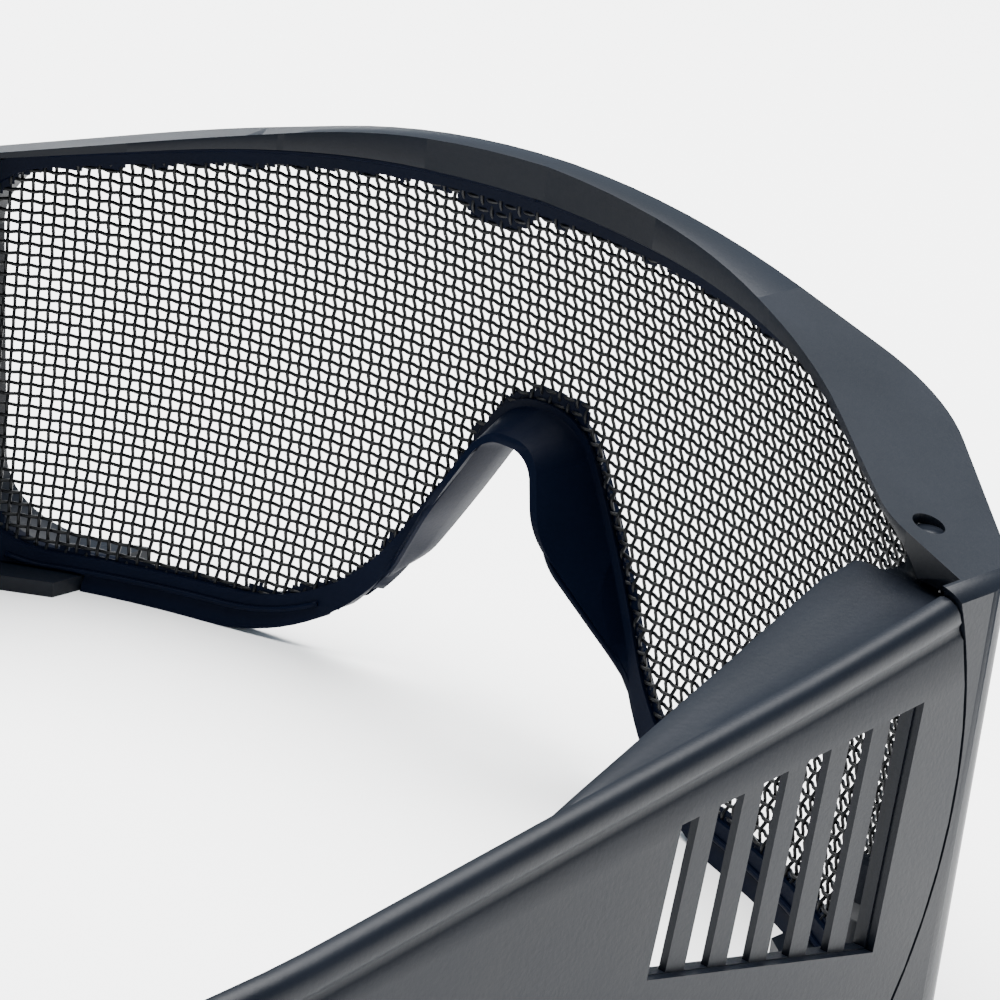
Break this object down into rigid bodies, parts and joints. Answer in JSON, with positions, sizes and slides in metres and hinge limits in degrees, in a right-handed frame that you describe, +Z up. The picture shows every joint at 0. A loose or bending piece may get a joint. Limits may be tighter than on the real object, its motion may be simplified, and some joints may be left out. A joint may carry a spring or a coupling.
{
  "type": "mesh safety goggles",
  "caption": "Work goggles with a woven wire screen in a moulded rim and nose saddle, a brow frame and two hinged, vented temples.",
  "frame": {"origin": "centre of the overall box in plan, at the height that the goggles stand on", "axes": "+X to the wearer's left, +Y to the rear along the open temples, +Z up"},
  "size_m": [0.162, 0.1652, 0.0694],
  "materials": {
    "black_plastic": "satin moulded",
    "rim_plastic": "satin moulded",
    "black_wire": "black coated woven wire"
  },
  "bodies": {
    "front": {"front_frame": "black_plastic", "screen_rim": "rim_plastic", "wire_screen": "black_wire"},
    "temple_left": {"temple_left": "black_plastic"},
    "temple_right": {"temple_right": "black_plastic"}
  },
  "joints": [
    {"name": "left_hinge", "type": "hinge", "parent": "front", "child": "temple_left", "pos_m": [0.0713, -0.05345, 0.03], "axis": [0, 0, 1], "range_deg": [0, 88]},
    {"name": "right_hinge", "type": "hinge", "parent": "front", "child": "temple_right", "pos_m": [-0.0713, -0.05345, 0.03], "axis": [0, 0, -1], "range_deg": [0, 82]}
  ]
}
